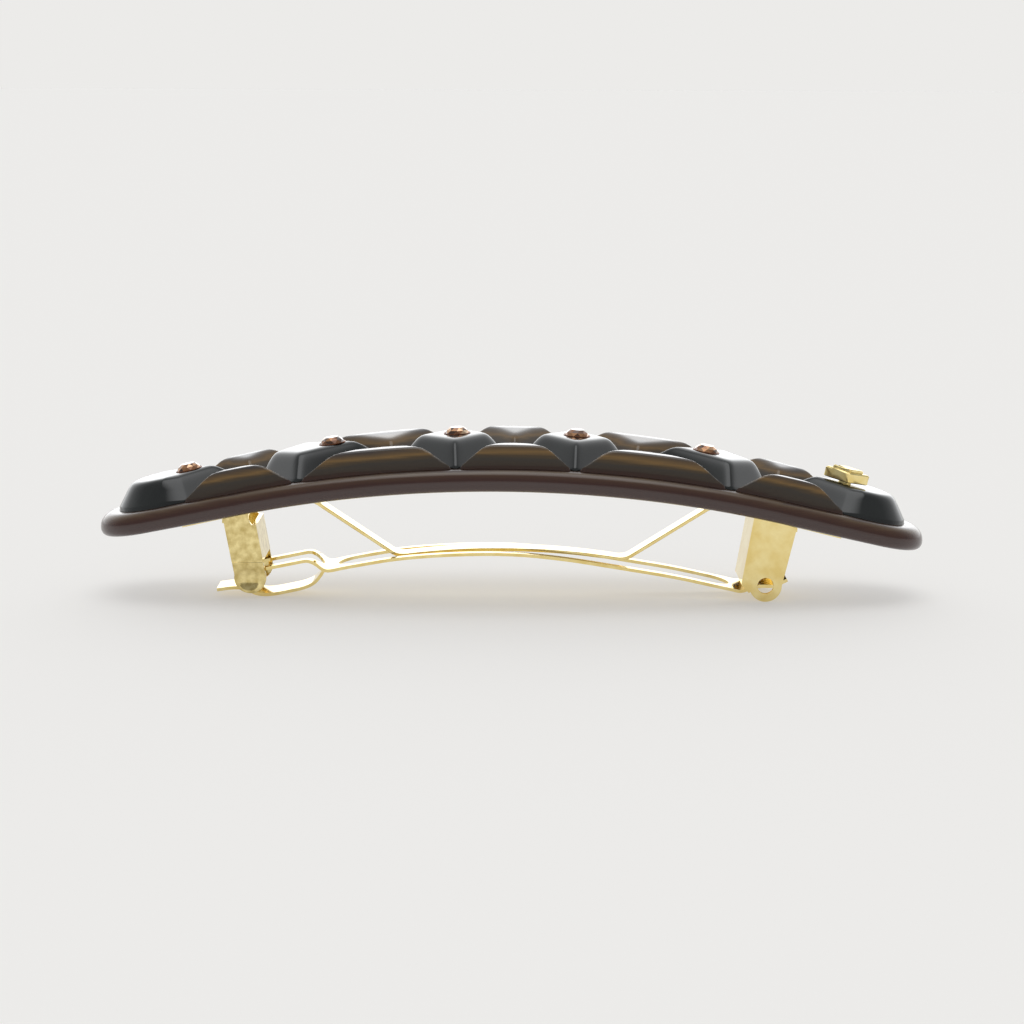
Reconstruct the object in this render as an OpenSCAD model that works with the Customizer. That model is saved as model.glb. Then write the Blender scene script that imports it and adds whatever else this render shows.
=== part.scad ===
// Quilted oval barrette on a spring clasp.
// X runs along the barrette, Y from front to back, Z up; Z = 0 is the lowest point of the clasp.
// Lengths are in millimetres and angles in degrees.

/* [Plate] */
// Overall length of the arched plate
plate_l = 102; // [98:1:106]
// Width of the plate at mid-length
plate_w = 21.6; // [20:0.2:23]
// Thickness of the plate
plate_t = 2.7; // [2.2:0.1:3.2]
// Radius of the plate's underside along its length
arch_r = 146; // [142:1:152]
// Height of the plate's underside at mid-length
arch_z = 14.9; // [14.7:0.1:15.2]
// Distance from mid-length at which the plate's arch turns into a straight end
straight_x = 33; // [30:1:40]
// Radius of the two long sides in plan
side_r = 279; // [250:1:320]

/* [Quilted pads] */
// Height of the dark lozenge pads
lozenge_h = 3.1; // [2.6:0.1:3.3]
// Height of the horn-coloured edge pads
edge_pad_h = 2.8; // [2.2:0.1:3]
// Height of the upright foot of each pad, below its slope
pad_foot_h = 0.3; // [0.2:0.1:0.6]
// Lean of the pads' sides from upright
pad_lean = 39; // [30:1:50]
// Lean of the edge pads' outer sides, along the plate's rim, from upright
rim_lean = 22; // [10:1:30]
// Groove between two pads
pad_gap = 0.24; // [0.1:0.02:0.4]
// Rim of bare plate along the long sides
rim_side = 1.3; // [1:0.1:2]
// Rim of bare plate at the two ends
rim_end = 2.2; // [1.6:0.1:3]

/* [Crystals and ornament] */
// Girdle diameter of a crystal
crystal_d = 3.3; // [2.8:0.1:3.6]
// How far a crystal stands above its pad
crystal_h = 1; // [0.6:0.1:1.2]
// Length of the ornament along the barrette
ornament_l = 5.8; // [4.5:0.1:6]
// Width of the ornament
ornament_w = 4; // [3:0.1:4.6]

/* [Clasp] */
// Width of the clasp's base strip and of its two brackets
clasp_w = 8.7; // [8.7:0.1:9.3]
// Length of the base strip between its ends
strip_l = 80.8; // [80:0.2:84]
// Thickness of the base strip and of the brackets
sheet_t = 0.5; // [0.4:0.05:0.5]
// Width of the clip arm
arm_w = 6.9; // [6.6:0.1:7]
// Thickness of the clip arm and of the tension bow
arm_t = 0.4; // [0.3:0.05:0.4]
// Width of each rail of the clip arm
rail_w = 1; // [0.8:0.1:1.2]
// Width of the tension bow
bow_w = 3; // [2.4:0.2:3.4]
// Width of the clip arm's sprung tongue
tongue_w = 4.4; // [3.6:0.2:4.6]
// Radius of the pivot holes in the hinge bracket
pivot_r = 1; // [0.9:0.05:1.1]

/* [Hidden] */
$fn = 48;

fine = 720;                        // segments of the long arcs
facets = 24;                       // facets of the plate's arch between its straight ends
bend = asin(straight_x / arch_r);  // slope of the straight ends
arch_cz = arch_z - arch_r;         // height of the arch's centre
top_r = arch_r + plate_t;          // radius of the plate's upper face
strip_r = arch_r - sheet_t;        // radius of the base strip's underside
foot_r = strip_r - sheet_t;        // radius of the underside of the brackets' feet
field_l = plate_l / 2 - rim_end;   // half-length of the quilted field
field_w = plate_w / 2 - rim_side;  // half-width of the quilted field
cheek_y = clasp_w / 2;             // outer face of a bracket's cheek
inner_y = cheek_y - sheet_t;       // inner face of a bracket's cheek
rivet_r = 0.7;                     // shank of the bracket rivets
rivet_head_r = 1.15;
rivet_head_h = 0.4;
slip = 0.02;                       // clearance around a rivet
seat_slip = 0.05;                  // clearance around a stone or post in its seat
crease_gap = 0.03;                 // slit between a release pad and its cheek
gold = "#e3c667";
resin = "#2c2f31";
horn = "#75583a";

// Where the lozenges touch on the centre line, and where their side corners lie
touch_x = [-32.2, -14.75, 0.15, 15.05, 32.5];
corner_x = [-40.4, -26.1, -6.85, 7.5, 26.4, 40.9];
crystal_x = [-39.4, -21.9, -6.8, 7.7, 23.4];
ornament_x = 40.45;
post_r = 0.8;                      // post of the ornament
post_sink = 1.2;                   // depth of the post in its pad
post_rise = 0.25;                  // gap between the pad and the ornament's plate

// Pivot of the clip arm, and the crease that each release pad flexes about
pivot = [31.35, 2.83];
crease_z = 4.65;
latch_x = -34.1;
hinge_x = 32.6;

// Lower face of the clip arm, from the latch end to the tail behind the pivot
arm_path = [
    [-33.8, 2.8], [-30.3, 3.5], [-26.6, 4.3], [-25.2, 4.55], [-24.3, 4.25], [-23.3, 3.55], [-22.3, 3.4],
    [-20, 3.9], [-14, 5], [-7, 5.65], [0, 5.8], [6.5, 5.3], [13.3, 4.35], [20.2, 3.3], [26.7, 2],
    [28.3, 1.7], [29.3, 1.95], [30, 2.45], [30.6, 2.63], [32.4, 2.63], [33.4, 2.85], [34.2, 3.25]
];
// Lower face of the sprung tongue, from its root under the arm to its tail
tongue_path = [
    [-22.95, 3.42], [-23.5, 2.5], [-24.3, 1.6], [-25.6, 0.95], [-27.6, 0.45], [-29.2, 0.12],
    [-30.4, 0], [-31.6, 0.12], [-32.7, 0.6], [-34.2, 0.8], [-36.4, 0.5]
];
// Lower face of half the tension bow, from mid-length to its foot under the base strip
bow_half = [[0, 6.05], [4, 5.98], [8, 5.72], [11.5, 5.35], [13.4, 5.12], [14.5, 5.3], [15.6, 5.95],
            [18, 7.5], [21, 9.44], [23.4, 11], [24.4, 11.62], [25.2, 11.8]];
// Where each foot of the bow begins and ends under the base strip
bow_foot_x = [24.8, 27.4];

// Ends along X of the brackets' feet and of the arm's two slots
hinge_foot_x = [29.7, 35];
latch_foot_x = [-35.5, -32.4];
long_slot_x = [-21.5, 27.2];
tongue_slot_x = [-32.6, -23.2];
tab_slip = 0.06;                   // clearance of the arm's tabs in the pivot holes
tab_proud = 0.25;                  // how far a tab stands out of its cheek

// Side outlines of the hinge bracket: its cheek and its upright web
hinge_side = [[28.35, 2.95], [29.3, 1.9], pivot, [33.25, 2.4], [35.25, 11.5], [29.75, 11.9]];
hinge_web = [[28.36, 3], [28.88, 3], [30.26, 11.9], [29.75, 11.9]];
eye_r = 2;                         // rounded end of the cheek about the pivot
// Side outlines of the latch bracket: its cheek with the squeeze pad, and its upright web
latch_side = [[-35.7, 11.5], [-34.02, 3], [-32.1, 2.75], [-30.16, 3], [-31.35, 9.25],
              [-32.3, 9.9], [-32.3, 11.9]];
latch_web = [[-30.98, 4.85], [-30.48, 4.85], [-31.33, 9.3], [-31.83, 9.3]];
squeeze_pad = [-32.08, 2.76];      // centre of the round squeeze pad
squeeze_pad_r = 1.98;
relief = [-31.2, 10.15];           // centre of the relief notch in the cheek
relief_r = 1.05;
dish = [-32.2, 2.62];              // centre of the pressed dish in each release pad
dish_r = 5;
dish_depth = 0.22;
plate_h = 1.3;                     // ornament's plate
step_h = 0.35;                     // ornament's upper step
step_size = 0.7;                   // size of the upper step against the plate
corner_slip = 0.12;                // how far the rounded pads' corners lie outside the field

// Slope at x of the arch's line of radius r
function arch_turn(x, r) = abs(x) > r * sin(bend) ? sign(x) * bend : asin(x / r);
// Height at x of the arch's line of radius r
function arc_z(x, r) =
    let (a = arch_turn(x, r)) arch_cz + r * cos(a) - (abs(x) - abs(r * sin(a))) * tan(abs(a));
// The arch's line of radius r from end to end; its facets touch the circle from outside
function arch_line(r) =
    let (q = r / cos(bend / facets), run = plate_l / 4, x = r * sin(bend) + run * cos(bend),
         z = arch_cz + r * cos(bend) - run * sin(bend))
    concat([[-x, z]],
        [for (k = [0 : facets - 1]) let (a = ((2 * k + 1) / facets - 1) * bend)
            [q * sin(a), arch_cz + q * cos(a)]],
        [[x, z]]);
// Half-width of the quilted field at x
function field_y(x) = sqrt(side_r * side_r - x * x) - side_r + field_w;
// Radius of the end circle that is tangent to both long sides
function end_r(l, w) = (side_r * side_r - pow(side_r - w, 2) - l * l) / (2 * (side_r - l));
// Point of a smooth curve between b and c, with a and d as its neighbours
function blend(a, b, c, d, t) =
    0.5 * (2 * b + (c - a) * t + (2 * a - 5 * b + 4 * c - d) * t * t
           + (3 * b - a - 3 * c + d) * t * t * t);
// Smooth curve through the points p, in n steps a span
function curve(p, n) = let (last = len(p) - 1) concat(
    [for (i = [0 : last - 1], k = [0 : n - 1])
        blend(p[max(i - 1, 0)], p[i], p[i + 1], p[min(i + 2, last)], k / n)],
    [p[last]]);
// Upward normal of the line p at its point i
function normal(p, i) =
    let (v = p[min(i + 1, len(p) - 1)] - p[max(i - 1, 0)], u = v / norm(v), s = sign(u[0]))
    s * [-u[1], u[0]];
// Outline of a strip of thickness t that lies on the line p
function ribbon(p, t) = concat(p, [for (i = [len(p) - 1 : -1 : 0]) p[i] + t * normal(p, i)]);
// Normal of the line p at its point i, on the side that is to the left of its run
function left_normal(p, i) =
    let (v = p[min(i + 1, len(p) - 1)] - p[max(i - 1, 0)], u = v / norm(v)) [-u[1], u[0]];
// Outline of a strip of thickness t to the right of the line p
function ribbon_right(p, t) =
    concat(p, [for (i = [len(p) - 1 : -1 : 0]) p[i] - t * left_normal(p, i)]);

// Extrudes an X-Z outline from y0 to y1
module along_y(y0, y1) {
    translate([0, y1, 0]) rotate([90, 0, 0]) linear_extrude(y1 - y0) children();
}

// Straight-ended band of the arch between two radii
module arch_band(r0, r1, w) {
    outer = arch_line(r1);
    along_y(-w / 2, w / 2)
        polygon(concat(arch_line(r0), [for (i = [len(outer) - 1 : -1 : 0]) outer[i]]));
}

// Round band between two radii about the arch's centre
module band(r0, r1, w) {
    translate([0, 0, arch_cz]) rotate([90, 0, 0]) difference() {
        cylinder(h = w, r = r1, center = true, $fn = fine);
        cylinder(h = w + 2, r = r0, center = true, $fn = fine);
    }
}

// Puts a child on the arch's line of radius r at x, with its Z axis square to the line
module on_arch(x, r) {
    translate([x, 0, arc_z(x, r)]) rotate([0, arch_turn(x, r), 0]) children();
}

// Puts a child at x on a circle of radius r about the arch's centre, with its Z axis along the radius
module on_circle(x, r) {
    translate([0, 0, arch_cz]) rotate([0, asin(x / r), 0]) translate([0, 0, r]) children();
}

// Oval of half-length l and half-width w, whose end circles are tangent to its long sides
module oval(l, w) {
    r = end_r(l, w);
    cx = l - r;
    turn = atan2(side_r - w, cx);
    end_arc = [for (k = [-9 : 9]) [cx + r * cos(turn * k / 9), r * sin(turn * k / 9)]];
    side_arc = [for (k = [1 : 23]) let (t = turn + (180 - 2 * turn) * k / 24)
        [side_r * cos(t), side_r * sin(t) + w - side_r]];
    polygon(concat(end_arc, side_arc, -end_arc, -side_arc));
}

module plate() {
    color("#55403a") intersection() {
        arch_band(arch_r, top_r, plate_w + 2);
        linear_extrude(arch_z + plate_t + 1) oval(plate_l / 2, plate_w / 2);
    }
}

// Side of a pad along the line from p to q: upright at its foot, then leaning inwards
module pad_side(p, q, lean) {
    zp = arc_z(p[0], top_r);
    zq = arc_z(q[0], top_r);
    run = norm(q - p);
    translate([p[0], p[1], zp]) rotate([0, 0, atan2(q[1] - p[1], q[0] - p[0])])
        translate([0, pad_gap / 2, 0]) intersection() {
            translate([-30, 0, -20]) cube([60, 40, 40]);
            translate([0, 0, pad_foot_h]) rotate([0, -atan2(zq - zp, run), 0]) rotate([-lean, 0, 0])
                translate([-30, 0, -40]) cube([60, 40, 80]);
        }
}

// Pad of height h inside the corners, which run anticlockwise, with the lean of each side
module pad(corners, h, leans) {
    n = len(corners);
    intersection() {
        arch_band(top_r, top_r + h, plate_w);
        linear_extrude(arch_z + plate_t + h + 1) oval(field_l, field_w);
        intersection_for (i = [0 : n - 1]) pad_side(corners[i], corners[(i + 1) % n], leans[i]);
    }
}

// Corners of the field's rounded end, from one side corner round to the other
function end_corners(s) =
    let (r = end_r(field_l, field_w) + corner_slip, cx = s * (field_l - end_r(field_l, field_w)))
    [for (a = [-66, -22, 22, 66]) [cx + s * r * cos(a), s * r * sin(a)]];

// Corners of lozenge i, anticlockwise
function lozenge(i) =
    let (x = corner_x[i], y = field_y(x))
    i == 0 ? concat([[touch_x[0], 0], [x, y]], end_corners(-1), [[x, -y]]) :
    i == 5 ? concat([[touch_x[4], 0], [x, -y]], end_corners(1), [[x, y]]) :
    [[touch_x[i - 1], 0], [x, -y], [touch_x[i], 0], [x, y]];

// Corners of edge pad i on the front (s = -1) or the back (s = 1), anticlockwise
function edge_triangle(i, s) =
    let (a = corner_x[i], b = corner_x[i + 1], m = (a + b) / 2,
         pa = [a, s * field_y(a)], pb = [b, s * field_y(b)],
         pm = [m, s * (field_y(m) + corner_slip / 2)],
         tip = [touch_x[i], 0])
    s < 0 ? [tip, pa, pm, pb] : [tip, pb, pm, pa];

module lozenge_pad(i) {
    color(resin) difference() {
        pad(lozenge(i), lozenge_h, [for (c = lozenge(i)) pad_lean]);
        if (i < 5) on_arch(crystal_x[i], top_r + lozenge_h - crystal_h)
            cylinder(h = crystal_h + 1, d = crystal_d + 2 * seat_slip);
        if (i == 5) on_arch(ornament_x, top_r + lozenge_h - post_sink)
            cylinder(h = post_sink + 1, r = post_r + seat_slip);
    }
}

module edge_pad(i, s) {
    color(horn) pad(edge_triangle(i, s), edge_pad_h, [pad_lean, rim_lean, rim_lean, pad_lean]);
}

// Round stone: a straight part in its seat and a bevelled crown with a flat table
module crystal(i) {
    color("#b36a2a") on_arch(crystal_x[i], top_r + lozenge_h - crystal_h) {
        cylinder(h = crystal_h + 0.2, d = crystal_d);
        translate([0, 0, crystal_h + 0.2])
            cylinder(h = crystal_h - 0.2, d1 = crystal_d, d2 = crystal_d * 0.58);
    }
}

// Diamond outline of length l and width w
module diamond(l, w) {
    polygon([[-l / 2, 0], [0, -w / 2], [l / 2, 0], [0, w / 2]]);
}

// Plain stepped diamond plate on a post that is set in the last pad
module ornament() {
    color(gold) on_arch(ornament_x, top_r + lozenge_h - post_sink) {
        cylinder(h = post_sink + post_rise + plate_h / 2, r = post_r);
        translate([0, 0, post_sink + post_rise]) {
            linear_extrude(plate_h) diamond(ornament_l, ornament_w);
            translate([0, 0, plate_h])
                linear_extrude(step_h) diamond(ornament_l * step_size, ornament_w * step_size);
        }
    }
}

// Bores through the strip and the brackets' feet for the two rivets
module rivet_bores() {
    for (x = [latch_x, hinge_x]) on_circle(x, foot_r)
        translate([0, 0, -1]) cylinder(h = 2 * sheet_t + 2, r = rivet_r + slip);
}

module base_strip() {
    color(gold) difference() {
        intersection() {
            arch_band(strip_r, arch_r, clasp_w);
            translate([-strip_l / 2, -clasp_w / 2, 0]) cube([strip_l, clasp_w, arch_z]);
        }
        rivet_bores();
    }
}

// Foot of a bracket, curved like the strip that it lies under
module bracket_foot(x) {
    intersection() {
        band(foot_r, strip_r, clasp_w);
        translate([x[0], -clasp_w / 2, 0]) cube([x[1] - x[0], clasp_w, arch_z]);
    }
}

// Keeps the part of an X-Z outline that is under the base strip
module under_strip() {
    intersection() {
        children();
        translate([0, arch_cz]) circle(r = strip_r, $fn = fine);
    }
}

// Outline of one cheek of the hinge bracket
module hinge_cheek() {
    polygon(hinge_side);
    translate(pivot) circle(r = eye_r);
}

module hinge_bracket() {
    color(gold) difference() {
        union() {
            for (s = [-1, 1]) translate([0, s * (inner_y + sheet_t / 2), 0])
                along_y(-sheet_t / 2, sheet_t / 2) under_strip() hinge_cheek();
            along_y(-cheek_y, cheek_y) under_strip() polygon(hinge_web);
            bracket_foot(hinge_foot_x);
        }
        translate([pivot[0], 0, pivot[1]]) rotate([90, 0, 0])
            cylinder(h = clasp_w + 2, r = pivot_r, center = true);
        rivet_bores();
    }
}

// Outline of one cheek of the latch bracket with its squeeze pad below the crease
module latch_cheek() {
    difference() {
        union() {
            polygon(latch_side);
            translate(squeeze_pad) circle(r = squeeze_pad_r);
        }
        translate(relief) circle(r = relief_r);
    }
}

module latch_bracket() {
    color(gold) difference() {
        union() {
            for (s = [-1, 1]) translate([0, s * (inner_y + sheet_t / 2), 0])
                along_y(-sheet_t / 2, sheet_t / 2) under_strip() intersection() {
                    latch_cheek();
                    translate([-40, crease_z + crease_gap]) square([15, 12]);
                }
            along_y(-cheek_y, cheek_y) polygon(latch_web);
            bracket_foot(latch_foot_x);
        }
        rivet_bores();
    }
}

// Sprung squeeze pad with a pressed dish; s = -1 is the front one
module release_pad(s) {
    color(gold) difference() {
        union() {
            translate([0, s * (inner_y + sheet_t / 2), 0]) along_y(-sheet_t / 2, sheet_t / 2)
                intersection() {
                    latch_cheek();
                    translate([-40, 0]) square([15, crease_z]);
                }
            intersection() {
                translate([dish[0], s * (inner_y + dish_r - dish_depth), dish[1]])
                    sphere(r = dish_r, $fn = 96);
                translate([-40, s > 0 ? 2 : -inner_y - 0.1, 0]) cube([15, inner_y - 1.9, crease_z]);
            }
        }
        translate([dish[0], s * (cheek_y + dish_r - dish_depth), dish[1]]) sphere(r = dish_r, $fn = 96);
    }
}

// Rivets that hold the two brackets to the base strip
module bracket_rivets() {
    color(gold) for (x = [latch_x, hinge_x]) on_circle(x, foot_r) {
        cylinder(h = 2 * sheet_t - slip, r = rivet_r);
        translate([0, 0, -rivet_head_h]) cylinder(h = rivet_head_h, r = rivet_head_r);
    }
}

// Bow spring that pushes the arm open and grips the hair; its feet lie under the base strip
module tension_bow() {
    half = curve(bow_half, 3);
    path = concat([for (i = [len(half) - 1 : -1 : 1]) [-half[i][0], half[i][1]]], half);
    color(gold) {
        along_y(-bow_w / 2, bow_w / 2) under_strip() polygon(ribbon(path, arm_t));
        for (s = [-1, 1]) intersection() {
            band(strip_r - arm_t, strip_r, bow_w);
            translate([s * (bow_foot_x[0] + bow_foot_x[1]) / 2, 0, arch_z / 2])
                cube([bow_foot_x[1] - bow_foot_x[0], bow_w, arch_z], center = true);
        }
    }
}

// Slot with round ends between the two x and of half-width w, cut upwards through the arm
module slot(x, w) {
    linear_extrude(arch_z / 2) {
        translate([x[0] + w, -w]) square([x[1] - x[0] - 2 * w, 2 * w]);
        for (c = [x[0] + w, x[1] - w]) translate([c, 0]) circle(r = w);
    }
}

module clip_arm() {
    slot_w = arm_w / 2 - rail_w;
    tab_r = pivot_r - tab_slip;
    color(gold) {
        difference() {
            along_y(-arm_w / 2, arm_w / 2) polygon(ribbon(curve(arm_path, 4), arm_t));
            slot(long_slot_x, slot_w);
            slot(tongue_slot_x, slot_w);
        }
        along_y(-tongue_w / 2, tongue_w / 2) polygon(ribbon_right(curve(tongue_path, 4), arm_t));
        // Flat tabs that turn in the bracket's holes
        intersection() {
            translate([pivot[0], 0, pivot[1]]) rotate([90, 0, 0])
                cylinder(h = clasp_w + 2 * tab_proud, r = tab_r, center = true);
            translate([pivot[0] - pivot_r, -clasp_w, pivot[1] - arm_t / 2])
                cube([2 * pivot_r, 2 * clasp_w, arm_t]);
        }
    }
}

plate();
lozenge_pad(0);  // lozenge_pad_1
lozenge_pad(1);  // lozenge_pad_2
lozenge_pad(2);  // lozenge_pad_3
lozenge_pad(3);  // lozenge_pad_4
lozenge_pad(4);  // lozenge_pad_5
lozenge_pad(5);  // lozenge_pad_6
edge_pad(0, -1);  // front_pad_1
edge_pad(1, -1);  // front_pad_2
edge_pad(2, -1);  // front_pad_3
edge_pad(3, -1);  // front_pad_4
edge_pad(4, -1);  // front_pad_5
edge_pad(0, 1);  // back_pad_1
edge_pad(1, 1);  // back_pad_2
edge_pad(2, 1);  // back_pad_3
edge_pad(3, 1);  // back_pad_4
edge_pad(4, 1);  // back_pad_5
crystal(0);  // crystal_1
crystal(1);  // crystal_2
crystal(2);  // crystal_3
crystal(3);  // crystal_4
crystal(4);  // crystal_5
ornament();
base_strip();
latch_bracket();
hinge_bracket();
bracket_rivets();
tension_bow();
clip_arm();
release_pad(-1);  // release_pad_front
release_pad(1);  // release_pad_rear
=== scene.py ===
"""Looks of the quilted oval barrette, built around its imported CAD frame. Lengths are in metres."""

import math

import bmesh
import bpy
from mathutils import Matrix, Vector


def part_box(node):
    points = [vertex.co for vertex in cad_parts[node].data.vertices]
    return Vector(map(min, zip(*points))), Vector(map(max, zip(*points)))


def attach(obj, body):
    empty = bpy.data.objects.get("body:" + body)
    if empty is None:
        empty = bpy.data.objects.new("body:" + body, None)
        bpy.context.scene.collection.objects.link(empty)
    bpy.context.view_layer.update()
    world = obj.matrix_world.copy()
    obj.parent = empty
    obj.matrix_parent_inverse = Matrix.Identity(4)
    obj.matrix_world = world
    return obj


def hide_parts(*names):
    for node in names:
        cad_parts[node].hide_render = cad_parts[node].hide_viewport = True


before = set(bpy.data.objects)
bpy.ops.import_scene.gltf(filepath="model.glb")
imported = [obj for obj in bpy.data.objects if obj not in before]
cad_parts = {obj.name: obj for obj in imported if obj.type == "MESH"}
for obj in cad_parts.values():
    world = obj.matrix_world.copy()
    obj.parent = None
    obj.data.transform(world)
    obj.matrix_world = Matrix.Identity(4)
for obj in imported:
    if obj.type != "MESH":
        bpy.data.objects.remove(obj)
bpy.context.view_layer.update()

MM = 0.001

# ---------------------------------------------------------------- sizes, from frame and design

PLATE_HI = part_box("plate")[1]
HALF_L = PLATE_HI.x                      # half-length of the plate
HALF_W = PLATE_HI.y                      # half-width of the plate
PLATE_T = 2.7 * MM
ARCH_R = 146 * MM                        # radius of the plate's underside
ARCH_CZ = PLATE_HI.z - PLATE_T - ARCH_R  # height of the arch's centre
TOP_R = ARCH_R + PLATE_T
SIDE_R = 279 * MM                        # radius of the long sides in plan
STRAIGHT_X = 33 * MM                     # where the arch turns into its straight ends
BEND = math.asin(STRAIGHT_X / ARCH_R)    # slope of the straight ends
FIELD_L = HALF_L - 2.2 * MM              # half-length of the quilted field
FIELD_W = HALF_W - 1.3 * MM              # half-width of the quilted field

# Where the lozenges touch on the centre line, and where their side corners lie
TOUCH_X = [-32.2 * MM, -14.75 * MM, 0.15 * MM, 15.05 * MM, 32.5 * MM]
CORNER_X = [-40.4 * MM, -26.1 * MM, -6.85 * MM, 7.5 * MM, 26.4 * MM, 40.9 * MM]
LOZENGE_H = 3.1 * MM
EDGE_PAD_H = 2.8 * MM
PAD_RISE = math.tan(math.radians(52))    # slope of the pads' sides
RIM_RISE = 2.1                           # how much steeper the horn pads are along the field's rim
PAD_GAP = 0.24 * MM                      # groove between two pads
PAD_FOOT = 0.15 * MM                     # upright foot of a pad
PAD_SINK = 0.02 * MM                     # how far a pad's bottom is let into the plate
STONE_X = [-39.4 * MM, -21.9 * MM, -6.8 * MM, 7.7 * MM, 23.4 * MM]
ORNAMENT_X = 40.45 * MM
STONE_LIFT = 0.04 * MM                   # height of a stone's girdle above its pad
ORNAMENT_LIFT = 0.25 * MM                # gap between the ornament's plate and its pad

# ---------------------------------------------------------------- geometry helpers


def arch_turn(x, r):
    """Slope at x of the arch's line of radius r, which runs straight beyond the bend."""
    return max(-BEND, min(BEND, math.asin(x / r)))


def arch_z(x, r):
    """Height at x of the arch's line of radius r."""
    a = arch_turn(x, r)
    return ARCH_CZ + r * math.cos(a) - (x - r * math.sin(a)) * math.tan(a)


def arch_point(x, y, h):
    """A point at height h square to the plate's upper face, over the plan place (x, y)."""
    a = arch_turn(x, TOP_R)
    return Vector((x + h * math.sin(a), y, arch_z(x, TOP_R) + h * math.cos(a)))


def arch_matrix(x, h):
    """Puts a piece on the arch at x, with its Z axis square to the plate."""
    return Matrix.Translation(arch_point(x, 0, h)) @ Matrix.Rotation(arch_turn(x, TOP_R), 4, "Y")


def end_radius(l, w):
    """Radius of the end circle that is tangent to both long sides."""
    return (SIDE_R ** 2 - (SIDE_R - w) ** 2 - l * l) / (2 * (SIDE_R - l))


def oval(l, w, side_n, end_n):
    """Points of an oval of half-length l and half-width w, anticlockwise."""
    r = end_radius(l, w)
    turn = math.atan2(SIDE_R - w, l - r)
    half = [(l - r + r * math.cos(turn * k / end_n), r * math.sin(turn * k / end_n))
            for k in range(-end_n, end_n + 1)]
    for k in range(1, side_n):
        t = turn + (math.pi - 2 * turn) * k / side_n
        half.append((SIDE_R * math.cos(t), SIDE_R * math.sin(t) + w - SIDE_R))
    return [Vector(p) for p in half] + [-Vector(p) for p in half]


def inward_normals(points):
    """Unit normals of a closed anticlockwise outline, pointing inwards."""
    n = len(points)
    found = []
    for i in range(n):
        t = (points[(i + 1) % n] - points[i - 1]).normalized()
        found.append(Vector((-t.y, t.x)))
    return found


def new_object(name, verts, faces, material, smooth=True):
    """A mesh object of one material, linked to the scene."""
    mesh = bpy.data.meshes.new(name)
    mesh.from_pydata([tuple(v) for v in verts], [], faces)
    mesh.validate()
    mesh.polygons.foreach_set("use_smooth", [smooth] * len(mesh.polygons))
    obj = bpy.data.objects.new(name, mesh)
    bpy.context.scene.collection.objects.link(obj)
    mesh.materials.append(material)
    return obj


def skin(name, rings, material, close_first=True, close_last=True):
    """A surface over rings of equally many points; a closed end is a fan to its ring's middle."""
    n = len(rings[0])
    verts = [p for ring in rings for p in ring]
    faces = []
    for k in range(len(rings) - 1):
        for i in range(n):
            j = (i + 1) % n
            faces.append((k * n + i, k * n + j, (k + 1) * n + j, (k + 1) * n + i))
    for wanted, ring, flip in ((close_first, 0, True), (close_last, len(rings) - 1, False)):
        if wanted:
            middle = sum(rings[ring], Vector((0, 0, 0))) / n
            verts.append(middle)
            c = len(verts) - 1
            for i in range(n):
                j = (i + 1) % n
                a, b = ring * n + i, ring * n + j
                faces.append((b, a, c) if flip else (a, b, c))
    return new_object(name, verts, faces, material)


def weld(obj):
    """Joins points that coincide and drops the faces that this closes up."""
    bm = bmesh.new()
    bm.from_mesh(obj.data)
    bmesh.ops.remove_doubles(bm, verts=bm.verts, dist=0.001 * MM)
    bmesh.ops.dissolve_degenerate(bm, edges=bm.edges, dist=0.0001 * MM)
    bm.to_mesh(obj.data)
    bm.free()


def place(obj, node, body):
    """Lets a piece ride its body in place of its CAD node."""
    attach(obj, body)
    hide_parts(node)
    return obj


# ---------------------------------------------------------------- materials

BACKDROP = (0.839, 0.831, 0.815)   # the studio's plain pale tone
TABLE = (0.590, 0.579, 0.563)      # the table top's own colour
GLOW = 0.44                        # light of the backdrop's tone that the table top gives off


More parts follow.
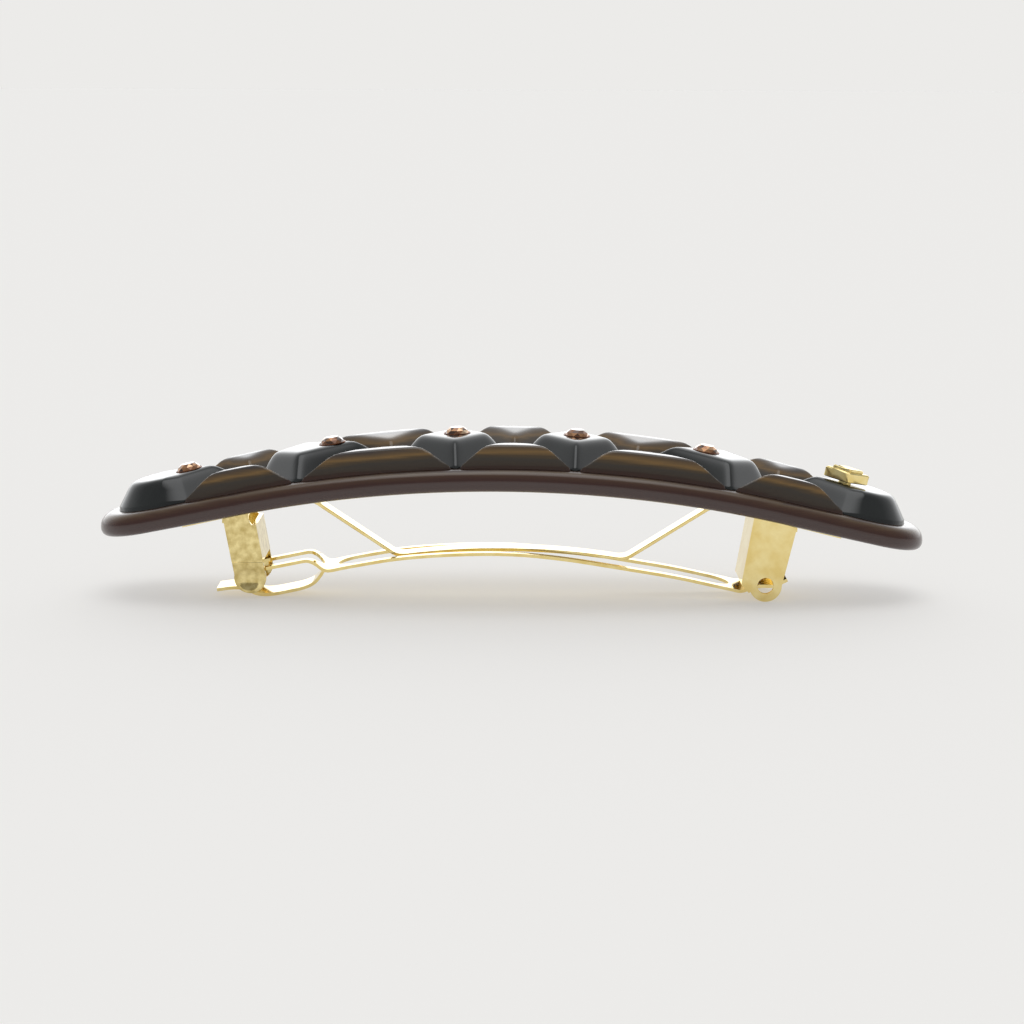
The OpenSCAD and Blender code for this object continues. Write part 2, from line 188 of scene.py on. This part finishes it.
class Nodes:
    """A short way to build one node material."""

    def __init__(self, name):
        self.material = bpy.data.materials.new(name)
        self.material.use_nodes = True
        self.tree = self.material.node_tree
        self.shader = self.tree.nodes["Principled BSDF"]

    def add(self, kind, **values):
        node = self.tree.nodes.new(kind)
        for key, value in values.items():
            if key in node.inputs.keys():
                node.inputs[key].default_value = value
            else:
                setattr(node, key, value)
        return node

    def link(self, a, output, b, socket):
        self.tree.links.new(a.outputs[output], b.inputs[socket])

    def set(self, **values):
        for key, value in values.items():
            self.shader.inputs[key.replace("_", " ")].default_value = value

    def place(self, scale):
        """Object coordinates, stretched by scale."""
        coords = self.add("ShaderNodeTexCoord")
        mapping = self.add("ShaderNodeMapping", Scale=scale)
        self.link(coords, "Object", mapping, "Vector")
        return mapping

    def noise(self, source, scale, detail=3.0, rough=0.5):
        node = self.add("ShaderNodeTexNoise", Scale=scale, Detail=detail, Roughness=rough)
        self.link(source, "Vector", node, "Vector")
        return node

    def ramp(self, source, output, stops):
        node = self.add("ShaderNodeValToRGB")
        ramp = node.color_ramp
        while len(ramp.elements) < len(stops):
            ramp.elements.new(0.5)
        for element, (at, colour) in zip(ramp.elements, stops):
            element.position = at
            element.color = (*colour, 1)
        self.link(source, output, node, "Fac")
        return node

    def math(self, operation, a, b=None):
        """One math node; a and b are numbers or (node, output) pairs."""
        node = self.add("ShaderNodeMath", operation=operation)
        for k, value in enumerate((a, b)):
            if isinstance(value, tuple):
                self.tree.links.new(value[0].outputs[value[1]], node.inputs[k])
            elif value is not None:
                node.inputs[k].default_value = value
        return (node, "Value")

    def level(self):
        """Height above the plate's upper face, square to the arch with its straight ends."""
        coords = self.add("ShaderNodeTexCoord")
        split = self.add("ShaderNodeSeparateXYZ")
        self.link(coords, "Object", split, "Vector")
        x = self.math("ABSOLUTE", (split, "X"))
        z = self.math("SUBTRACT", (split, "Z"), ARCH_CZ)
        past = self.math("MAXIMUM", self.math("SUBTRACT", self.math("ARCTAN2", x, z), BEND), 0.0)
        squares = self.math("ADD", self.math("MULTIPLY", x, x), self.math("MULTIPLY", z, z))
        radius = self.math("SQRT", squares)
        square_on = self.math("MULTIPLY", radius, self.math("COSINE", past))
        return self.math("SUBTRACT", square_on, TOP_R)

    def vary(self, source, output, low, high, socket):
        """A number that runs from low to high as the source runs from 0 to 1."""
        node = self.add("ShaderNodeMapRange")
        node.inputs["To Min"].default_value = low
        node.inputs["To Max"].default_value = high
        self.link(source, output, node, "Value")
        self.link(node, "Result", self.shader, socket)

    def bump(self, source, output, strength, distance):
        node = self.add("ShaderNodeBump", Strength=strength, Distance=distance)
        self.link(source, output, node, "Height")
        self.link(node, "Normal", self.shader, "Normal")


def acetate_brown():
    """Dark brown polished acetate, warmer towards its upper face, faintly streaked lengthwise."""
    m = Nodes("plate_acetate")
    streaks = m.noise(m.place((40, 300, 900)), 1.6, 4)
    height = m.add("ShaderNodeMapRange")
    height.inputs["From Min"].default_value = -PLATE_T
    height.inputs["From Max"].default_value = 0.0
    m.link(*m.level(), height, "Value")
    waver = m.math("MULTIPLY", m.math("SUBTRACT", (streaks, "Fac"), 0.5), 0.25)
    level = m.math("ADD", (height, "Result"), waver)
    colour = m.ramp(*level, [
        (0.0, (0.060, 0.034, 0.031)), (0.42, (0.058, 0.031, 0.027)), (0.60, (0.046, 0.013, 0.008)),
        (0.78, (0.070, 0.030, 0.015)), (0.92, (0.115, 0.070, 0.036)), (1.0, (0.062, 0.036, 0.028))])
    m.link(colour, "Color", m.shader, "Base Color")
    wear = m.noise(m.place((700, 700, 700)), 1.0, 5)
    m.vary(wear, "Fac", 0.14, 0.26, "Roughness")
    m.bump(wear, "Fac", 0.03, 0.00004)
    m.set(IOR=1.49, Coat_Weight=0.25, Coat_Roughness=0.06)
    return m.material


def resin_black():
    """Nearly black polished resin with a trace of green, softly uneven."""
    m = Nodes("dark_resin")
    cloud = m.noise(m.place((160, 160, 160)), 1.0, 3)
    colour = m.ramp(cloud, "Fac", [(0.35, (0.006, 0.008, 0.008)), (0.7, (0.016, 0.020, 0.020))])
    m.link(colour, "Color", m.shader, "Base Color")
    wear = m.noise(m.place((900, 900, 900)), 1.0, 4)
    m.vary(wear, "Fac", 0.07, 0.13, "Roughness")
    m.bump(wear, "Fac", 0.02, 0.00003)
    m.set(IOR=1.52, Coat_Weight=0.15, Coat_Roughness=0.03)
    return m.material


def horn():
    """Streaked horn with a painted glow: golden near the top, where light coming down through the
    pad is painted in, grey-brown below and red-brown at the foot.
    """
    m = Nodes("horn_acetate")
    height = m.add("ShaderNodeMapRange")
    height.inputs["From Max"].default_value = EDGE_PAD_H
    m.link(*m.level(), height, "Value")
    wave = m.noise(m.place((30, 200, 420)), 1.5, 3)
    fine = m.noise(m.place((60, 500, 2600)), 1.5, 2)
    waver = m.math("MULTIPLY", m.math("SUBTRACT", (wave, "Fac"), 0.5), 0.4)
    grain = m.math("MULTIPLY", m.math("SUBTRACT", (fine, "Fac"), 0.5), 0.12)
    level = m.math("ADD", m.math("ADD", (height, "Result"), waver), grain)
    # Painted light: the golden stops from 0.60 to 0.84 of the height stand for light passing down
    # through the pad; the wavering streaks are the horn's own grain.
    colour = m.ramp(*level, [
        (0.0, (0.050, 0.018, 0.010)), (0.12, (0.040, 0.018, 0.010)), (0.20, (0.050, 0.034, 0.022)),
        (0.45, (0.050, 0.040, 0.030)), (0.60, (0.085, 0.055, 0.026)), (0.72, (0.215, 0.125, 0.042)),
        (0.84, (0.130, 0.080, 0.036)), (1.0, (0.055, 0.045, 0.042))])
    m.link(colour, "Color", m.shader, "Base Color")
    wear = m.noise(m.place((900, 900, 900)), 1.0, 4)
    m.vary(wear, "Fac", 0.08, 0.15, "Roughness")
    m.bump(wear, "Fac", 0.02, 0.00003)
    m.set(IOR=1.5, Coat_Weight=0.15, Coat_Roughness=0.03)
    return m.material


def gilt(name="gilt_metal", marks=0.05, grain=500, dark=1.0):
    """Polished pale gilt with faint rolling lines and small soft marks."""
    m = Nodes(name)
    tint = m.noise(m.place((grain, grain, grain)), 1.0, 4)
    low, high = (0.84, 0.65, 0.25), (0.93, 0.78, 0.38)
    colour = m.ramp(tint, "Fac", [(0.35, tuple(c * dark for c in low)), (0.65, high)])
    m.link(colour, "Color", m.shader, "Base Color")
    lines = m.noise(m.place((grain, 2600, grain)), 1.0, 4)
    m.vary(lines, "Fac", 0.05, 0.16, "Roughness")
    m.bump(tint, "Fac", marks, 0.0001)
    m.set(Metallic=1.0)
    return m.material


def stone_glass():
    """Amber cut glass over foil, with painted sparkle: every facet gets its own amber tone, from
    near black to a near-white glint, picked at random by the way it faces.
    """
    m = Nodes("amber_crystal")
    facing = m.add("ShaderNodeNewGeometry")
    painted_sparkle = m.add("ShaderNodeTexWhiteNoise")
    m.link(facing, "True Normal", painted_sparkle, "Vector")
    # Painted glints and reflections: the spread from dark to near-white ambers stands for light
    # thrown back by the facets; the stone itself is amber.
    colour = m.ramp(painted_sparkle, "Value", [
        (0.0, (0.030, 0.011, 0.006)), (0.3, (0.12, 0.045, 0.018)), (0.6, (0.34, 0.14, 0.05)),
        (0.85, (0.62, 0.32, 0.14)), (1.0, (0.95, 0.74, 0.52))])
    m.link(colour, "Color", m.shader, "Base Color")
    m.vary(painted_sparkle, "Value", 0.03, 0.10, "Roughness")
    m.set(Metallic=0.75, IOR=1.6, Coat_Weight=1.0, Coat_Roughness=0.01)
    return m.material


def foil():
    """Dark copper-coloured foil cup behind a stone."""
    m = Nodes("stone_foil")
    grain = m.noise(m.place((2000, 2000, 2000)), 1.0, 2)
    colour = m.ramp(grain, "Fac", [(0.3, (0.10, 0.035, 0.018)), (0.7, (0.22, 0.09, 0.045))])
    m.link(colour, "Color", m.shader, "Base Color")
    m.vary(grain, "Fac", 0.15, 0.35, "Roughness")
    m.set(Metallic=1.0)
    return m.material


def studio_white():
    """Matt pale table top that glows a little, so that the shadow on it stays pale."""
    m = Nodes("studio_white")
    m.shader.inputs["Base Color"].default_value = (*TABLE, 1)
    m.set(Roughness=1.0, Specular_IOR_Level=0.0, Emission_Strength=GLOW)
    m.shader.inputs["Emission Color"].default_value = (*BACKDROP, 1)
    return m.material


BROWN = acetate_brown()
BLACK = resin_black()
HORN_PAINTED_GLOW = horn()
GOLD = gilt()
SATIN = gilt("gilt_mottled", 0.12, 900, 0.72)
STONE = stone_glass()
FOIL = foil()

# ---------------------------------------------------------------- the plate


def make_plate():
    """Arched oval plate with fully rounded edges."""
    outline = oval(HALF_L, HALF_W, 48, 14)
    normals = inward_normals(outline)
    steps = 7
    top_round, bottom_round = 1.3 * MM, 1.15 * MM
    section = []
    for k in range(steps + 1):
        a = math.pi / 2 * k / steps
        section.append((bottom_round * (1 - math.sin(a)), bottom_round * (1 - math.cos(a))))
    for k in range(steps + 1):
        a = math.pi / 2 * k / steps
        section.append((top_round * (1 - math.cos(a)), PLATE_T - top_round * (1 - math.sin(a))))

    def lift(p, n):
        return Vector((p.x, p.y, arch_z(p.x, ARCH_R + n)))

    edge = end_radius(HALF_L, HALF_W)
    spine = [Vector((max(-HALF_L + edge, min(HALF_L - edge, p.x)), 0)) for p in outline]
    rings = []
    inner = [p + n * section[0][0] for p, n in zip(outline, normals)]
    for s in (1.0, 0.75, 0.5, 0.25):
        rings.append([lift(p.lerp(c, s), 0) for p, c in zip(inner, spine)])
    for d, n in section:
        rings.append([lift(p + m * d, n) for p, m in zip(outline, normals)])
    inner = [p + n * section[-1][0] for p, n in zip(outline, normals)]
    for s in (0.25, 0.5, 0.75, 1.0):
        rings.append([lift(p.lerp(c, s), PLATE_T) for p, c in zip(inner, spine)])
    obj = skin("plate_shell", rings, BROWN, close_first=False, close_last=False)
    weld(obj)
    return place(obj, "plate", "root")


make_plate()

# ---------------------------------------------------------------- the quilted pads


def field_y(x):
    """Half-width of the quilted field at x."""
    return math.sqrt(SIDE_R ** 2 - x * x) - SIDE_R + FIELD_W


END_R = end_radius(FIELD_L, FIELD_W)
END_CX = FIELD_L - END_R


def edge_distance(p):
    """Distance of a plan point from the rim of the quilted field."""
    side = SIDE_R - math.hypot(p.x, abs(p.y) + SIDE_R - FIELD_W)
    if abs(p.x) < END_CX:
        return side
    return min(side, END_R - math.hypot(abs(p.x) - END_CX, p.y))


def line_distance(p, a, b):
    """Distance of p from the line through a and b, positive on its left."""
    t = (b - a).normalized()
    return t.x * (p.y - a.y) - t.y * (p.x - a.x)


def soft_min(values, k):
    """The smallest of the values, rounded off where two are close."""
    low = min(values)
    return low - k * math.log(sum(math.exp(-(v - low) / k) for v in values))


def rounded_corners(corners, radius, curved):
    """A dense outline of a pad: corners rounded off, curved sides following the field's rim."""
    n = len(corners)
    points = []
    for i in range(n):
        a, b, c = corners[i - 1], corners[i], corners[(i + 1) % n]
        start = b + (a - b).normalized() * radius
        end = b + (c - b).normalized() * radius
        for k in range(6):
            t = k / 6
            points.append((1 - t) ** 2 * start + 2 * t * (1 - t) * b + t * t * end)
        run = (c - b).length - 2 * radius
        count = max(2, int(run / (0.55 * MM)))
        stop = c + (b - c).normalized() * radius
        for k in range(count):
            p = end.lerp(stop, k / count)
            if (i, (i + 1) % n) in curved:
                bulge = field_y(p.x) - PAD_GAP / 2
                p = Vector((p.x, math.copysign(bulge, p.y)))
            points.append(p)
    return points


def dome_height(p, lines, rim, height, rise, sag, soften):
    """Height of a pad at p: leaning sides, a soft shoulder and a top that may sag inwards."""
    d = [line_distance(p, a, b) for a, b in lines]
    if rim:
        d.append(edge_distance(p) * rim)
    inside = max(0.0, soft_min(d, 0.25 * MM))
    top = height - sag * max(0.0, 0.72 * field_y(p.x) - abs(p.y))
    return max(0.0, soft_min((inside * rise, top), soften))


# Height, slope of the sides, sag of the top and softness of the shoulder of each kind of pad
LOZENGE_SHAPE = (LOZENGE_H, PAD_RISE, 0, 0.3 * MM)
EDGE_PAD_SHAPE = (EDGE_PAD_H, PAD_RISE, 0.1, 0.26 * MM)
# Where a pad's rings lie between its outline and its centre
PAD_STEPS = (0.015, 0.03, 0.05, 0.07, 0.09, 0.112, 0.135, 0.16, 0.185, 0.212, 0.24,
             0.27, 0.3, 0.335, 0.375, 0.42, 0.47, 0.53, 0.6, 0.68, 0.78, 0.9)


def make_pad(name, outline, centre, lines, rim, shape, material):
    """One pad: a raised top over the outline, an upright foot and a bottom on the plate."""
    foot = PAD_FOOT
    height, rise, sag, soften = shape
    rings = [[arch_point(*p.lerp(centre, s), -PAD_SINK) for p in outline] for s in (0.9, 0.5)]
    rings.append([arch_point(*p, -PAD_SINK) for p in outline])
    rings.append([arch_point(*p, foot * 0.6) for p in outline])
    rings.append([arch_point(*p.lerp(centre, 0.006), foot) for p in outline])
    for s in PAD_STEPS:
        ring = []
        for p in outline:
            q = p.lerp(centre, s)
            h = foot + dome_height(q, lines, rim, height - foot, rise, sag, soften)
            ring.append(arch_point(*q, h))
        rings.append(ring)
    obj = skin(name + "_dome", rings, material)
    return place(obj, name, "root")


def inner_lines(corners, skipped=()):
    """The sides of a pad between neighbouring corners, without the skipped ones."""
    n = len(corners)
    return [(corners[i], corners[(i + 1) % n]) for i in range(n) if i not in skipped]


def shrink(corners, by):
    """Corners of a convex outline moved in by a distance on every side."""
    n = len(corners)
    moved = []
    for i in range(n):
        a, b, c = corners[i - 1], corners[i], corners[(i + 1) % n]
        u, v = (b - a).normalized(), (c - b).normalized()
        nu, nv = Vector((-u.y, u.x)), Vector((-v.y, v.x))
        moved.append(b + (nu + nv) * by / (1 + nu.dot(nv)))
    return moved


def blunt(corners):
    """Lines across a lozenge's left and right tips that take their sharpness off."""
    cut = 0.65 * MM
    left, right = corners[0].x + cut, corners[2].x - cut
    return [(Vector((left, MM)), Vector((left, -MM))), (Vector((right, -MM)), Vector((right, MM)))]


def middle_lozenge(i):
    """Lozenge with four straight sides."""
    x = CORNER_X[i]
    y = field_y(x)
    corners = shrink([Vector((TOUCH_X[i - 1], 0)), Vector((x, -y)), Vector((TOUCH_X[i], 0)),
                      Vector((x, y))], PAD_GAP / 2)
    outline = rounded_corners(corners, 1.0 * MM, ())
    centre = Vector((STONE_X[i], 0))
    make_pad(f"lozenge_pad_{i + 1}", outline, centre, inner_lines(corners) + blunt(corners), 0,
             LOZENGE_SHAPE, BLACK)


def end_lozenge(i):
    """End pad: a point inwards and the field's round end outwards."""
    s = -1 if i == 0 else 1
    x = CORNER_X[i]
    y = field_y(x) - PAD_GAP / 2
    tip = Vector((TOUCH_X[0 if i == 0 else 4] + s * 0.17 * MM, 0))
    r = END_R - PAD_GAP / 2
    arc = []
    turn = math.atan2(y, abs(x) - END_CX) if abs(x) > END_CX else math.pi / 2
    for k in range(-20, 21):
        a = turn * k / 20
        arc.append(Vector((s * (END_CX + r * math.cos(a)), r * math.sin(a))))
    corner_lo = Vector((x, -y))
    corner_hi = Vector((x, y))
    sides = [(tip, corner_lo), (corner_hi, tip)]
    loop = [tip.lerp(corner_lo, k / 16) for k in range(1, 16)] + arc
    loop += [corner_hi.lerp(tip, k / 16) for k in range(1, 17)]
    if s < 0:
        loop = [tip] + [tip.lerp(corner_hi, k / 16) for k in range(1, 16)] + arc[::-1]
        loop += [corner_lo.lerp(tip, k / 16) for k in range(1, 16)]
        sides = [(tip, corner_hi), (corner_lo, tip)]
    centre = Vector((x + s * 0.4 * MM, 0))
    make_pad(f"lozenge_pad_{i + 1}", loop, centre, sides, 1, LOZENGE_SHAPE, BLACK)


def edge_pad(i, s):
    """Three-sided pad between two lozenges, on the front (s = -1) or the back (s = 1)."""
    a, b = CORNER_X[i], CORNER_X[i + 1]
    pa, pb = Vector((a, s * field_y(a))), Vector((b, s * field_y(b)))
    tip = Vector((TOUCH_X[i], 0))
    corners = [tip, pa, pb] if s < 0 else [tip, pb, pa]
    corners = shrink(corners, PAD_GAP / 2)
    outline = rounded_corners(corners, 0.8 * MM, ((1, 2),))
    sides = [(corners[j] - corners[(j + 1) % 3]).length for j in (1, 2, 0)]
    centre = sum((c * w for c, w in zip(corners, sides)), Vector((0, 0))) / sum(sides)
    row = "front" if s < 0 else "back"
    make_pad(f"{row}_pad_{i + 1}", outline, centre, inner_lines(corners, (1,)), RIM_RISE,
             EDGE_PAD_SHAPE, HORN_PAINTED_GLOW)


for i in range(6):
    if i in (0, 5):
        end_lozenge(i)
    else:
        middle_lozenge(i)
for i in range(5):
    edge_pad(i, -1)
    edge_pad(i, 1)

# ---------------------------------------------------------------- stones and ornament


def ring_of(radius, z, n, turn=0.0):
    """A level ring of n points."""
    return [Vector((radius * math.cos(turn + 2 * math.pi * k / n),
                    radius * math.sin(turn + 2 * math.pi * k / n), z)) for k in range(n)]


def make_stone(i):
    """Round cut stone: table, two tiers of crown facets, girdle and a foil cup under it."""
    girdle = 1.5 * MM
    n = 10
    tiers = [(0.5, -0.6, 0), (0.97, -0.06, 0), (1.0, 0.02, 0), (0.86, 0.38, 1), (0.56, 0.72, 0)]
    rings = [ring_of(girdle * r, z * MM, n, turn * math.pi / n) for r, z, turn in tiers]
    verts = [v for ring in rings for v in ring]
    faces = [tuple(range(n))[::-1], tuple(4 * n + k for k in range(n))]
    for t in range(4):
        for k in range(n):
            a, b = t * n + k, t * n + (k + 1) % n
            c, d = a + n, b + n
            if tiers[t][2] == tiers[t + 1][2]:
                faces.append((a, b, d, c))
            elif tiers[t + 1][2]:
                faces += [(a, b, c), (b, d, c)]
            else:
                faces += [(a, b, d), (a, d, c)]
    stone = new_object(f"crystal_{i + 1}_cut", verts, faces, STONE, smooth=False)
    cup_profile = [(0.7, -0.8), (1.62, -0.15), (1.68, 0.02), (1.6, 0.06), (1.5, -0.05),
                   (0.75, -0.66)]
    cup_rings = [ring_of(r * MM, z * MM, 24) for r, z in cup_profile]
    cup = skin(f"crystal_{i + 1}_foil", cup_rings, FOIL)
    where = arch_matrix(STONE_X[i], LOZENGE_H + STONE_LIFT)
    for piece in (stone, cup):
        piece.data.transform(where)
    place(stone, f"crystal_{i + 1}", "root")
    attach(cup, "root")


for i in range(5):
    make_stone(i)


def make_ornament():
    """Plain bevelled lozenge plate with a smaller raised lozenge, on a round post."""
    tiers = [(0.92, 0.0), (1.0, 0.1), (1.0, 1.12), (0.93, 1.28), (0.74, 1.32), (0.7, 1.36),
             (0.7, 1.56), (0.64, 1.64)]
    half_l, half_w = 2.9 * MM, 2.0 * MM
    rings = []
    for size, z in tiers:
        corners = [Vector((-half_l * size, 0)), Vector((0, -half_w * size)),
                   Vector((half_l * size, 0)), Vector((0, half_w * size))]
        rings.append([Vector((p.x, p.y, z * MM)) for p in rounded_corners(corners, 0.28 * MM, ())])
    obj = skin("ornament_plate", rings, GOLD)
    post_rings = [ring_of(0.8 * MM, z * MM, 24) for z in (-0.9, 0.05)]
    post = skin("ornament_post", post_rings, GOLD)
    where = arch_matrix(ORNAMENT_X, LOZENGE_H + ORNAMENT_LIFT)
    for piece in (obj, post):
        piece.data.transform(where)
    smooth_by_angle(obj, 25)
    smooth_by_angle(post, 40)
    place(obj, "ornament", "root")
    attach(post, "root")


def smooth_by_angle(obj, degrees):
    """Sharp edges where two faces meet at more than the angle, smooth elsewhere."""
    bm = bmesh.new()
    bm.from_mesh(obj.data)
    for edge in bm.edges:
        edge.smooth = edge.calc_face_angle(math.pi) < math.radians(degrees)
    for face in bm.faces:
        face.smooth = True
    bm.to_mesh(obj.data)
    bm.free()


make_ornament()

# ---------------------------------------------------------------- sheet metal of the clasp

CREASE_Z = 4.65 * MM               # crease that the release pads flex about; its edges stay sharp


def formed_metal(node, body, bevel, material=GOLD):
    """A copy of a CAD part with clean faces and broken edges, as stamped and plated sheet has."""
    bm = bmesh.new()
    bm.from_mesh(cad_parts[node].data)
    bmesh.ops.remove_doubles(bm, verts=bm.verts, dist=0.002 * MM)
    bmesh.ops.dissolve_limit(bm, angle_limit=math.radians(0.4), verts=bm.verts, edges=bm.edges)
    weight = bm.edges.layers.float.new("bevel_weight_edge")
    for e in bm.edges:
        at_crease = all(abs(v.co.z - CREASE_Z) < 0.1 * MM for v in e.verts)
        if e.is_manifold and e.calc_face_angle() > math.radians(40) and not at_crease:
            e[weight] = 1.0
    mesh = bpy.data.meshes.new(node + "_formed")
    bm.to_mesh(mesh)
    bm.free()
    obj = bpy.data.objects.new(node + "_formed", mesh)
    bpy.context.scene.collection.objects.link(obj)
    mesh.materials.append(material)
    smooth_by_angle(obj, 30)
    edge = obj.modifiers.new("edge", "BEVEL")
    edge.width = bevel
    edge.segments = 2
    edge.limit_method = "WEIGHT"
    edge.use_clamp_overlap = True
    edge.harden_normals = True
    return place(obj, node, body)


formed_metal("base_strip", "root", 0.08 * MM)
formed_metal("hinge_bracket", "root", 0.09 * MM)
formed_metal("latch_bracket", "root", 0.09 * MM, SATIN)
formed_metal("bracket_rivets", "root", 0.12 * MM)
formed_metal("tension_bow", "root", 0.1 * MM)
formed_metal("clip_arm", "arm", 0.1 * MM)
formed_metal("release_pad_front", "front_release", 0.08 * MM, SATIN)
formed_metal("release_pad_rear", "rear_release", 0.08 * MM, SATIN)

# ---------------------------------------------------------------- stage, light and camera

TILT = math.radians(0.77)          # slope of the line through the clasp's two resting points
SKY = 1.0                          # strength of the studio's light


def make_stage():
    """Pale floor under the clasp's two resting points."""
    half = 40.0                    # far beyond the picture
    verts = [(-half, -half, 0), (half, -half, 0), (half, half, 0), (-half, half, 0)]
    floor = new_object("floor", verts, [(0, 1, 2, 3)], studio_white())
    rest = Vector((-30.4 * MM, 0, -0.02 * MM))  # under the tongue, a hair below it
    floor.matrix_world = Matrix.Translation(rest) @ Matrix.Rotation(-TILT, 4, "Y")


def make_world():
    """Studio light: bright behind and overhead, dim on the camera's side."""
    world = bpy.data.worlds.new("studio")
    bpy.context.scene.world = world
    world.use_nodes = True
    tree = world.node_tree
    coords = tree.nodes.new("ShaderNodeTexCoord")
    split = tree.nodes.new("ShaderNodeSeparateXYZ")
    tree.links.new(coords.outputs["Generated"], split.inputs["Vector"])

    def tones(axis, low, stops):
        """Greys along one axis of the view direction, from low to 1."""
        span = tree.nodes.new("ShaderNodeMapRange")
        span.inputs["From Min"].default_value = low
        ramp = tree.nodes.new("ShaderNodeValToRGB")
        while len(ramp.color_ramp.elements) < len(stops):
            ramp.color_ramp.elements.new(0.5)
        for element, (at, grey) in zip(ramp.color_ramp.elements, stops):
            element.position = at
            element.color = (grey * 0.99, grey, grey * 1.01, 1)
        tree.links.new(split.outputs[axis], span.inputs["Value"])
        tree.links.new(span.outputs["Result"], ramp.inputs["Fac"])
        return ramp.outputs["Color"]

    lighten = tree.nodes.new("ShaderNodeMixRGB")
    lighten.blend_type = "LIGHTEN"
    lighten.inputs["Fac"].default_value = 1.0
    behind = tones("Y", -1.0, [(0.0, 0.36), (0.50, 0.38), (0.72, 0.65), (0.9, 1.4), (1.0, 2.3)])
    overhead = tones("Z", 0.0, [(0.0, 0.25), (0.88, 0.35), (0.965, 1.9), (1.0, 2.0)])
    tree.links.new(behind, lighten.inputs[1])
    tree.links.new(overhead, lighten.inputs[2])
    path = tree.nodes.new("ShaderNodeLightPath")
    seen = tree.nodes.new("ShaderNodeMixRGB")
    tree.links.new(path.outputs["Is Camera Ray"], seen.inputs["Fac"])
    tree.links.new(lighten.outputs["Color"], seen.inputs[1])
    seen.inputs[2].default_value = (*BACKDROP, 1)
    tree.links.new(seen.outputs["Color"], tree.nodes["Background"].inputs["Color"])
    tree.nodes["Background"].inputs["Strength"].default_value = SKY


def make_camera():
    """Camera ten degrees above the barrette, turned a little so that it stands level."""
    elevation = math.radians(10)
    distance = 0.300
    target = Vector((0, 0, 10.75 * MM))
    data = bpy.data.cameras.new("camera")
    data.sensor_width = 36
    data.lens = 84.9
    data.clip_start = 0.01
    camera = bpy.data.objects.new("camera", data)
    bpy.context.scene.collection.objects.link(camera)
    back = Vector((0, -math.cos(elevation), math.sin(elevation)))
    roll = Matrix.Rotation(math.radians(0.98), 4, "Z")
    look = (-back).to_track_quat("-Z", "Y").to_matrix().to_4x4()
    camera.matrix_world = Matrix.Translation(target + back * distance) @ look @ roll
    bpy.context.scene.camera = camera


make_stage()
make_world()
make_camera()
bpy.context.scene.view_settings.view_transform = "Standard"
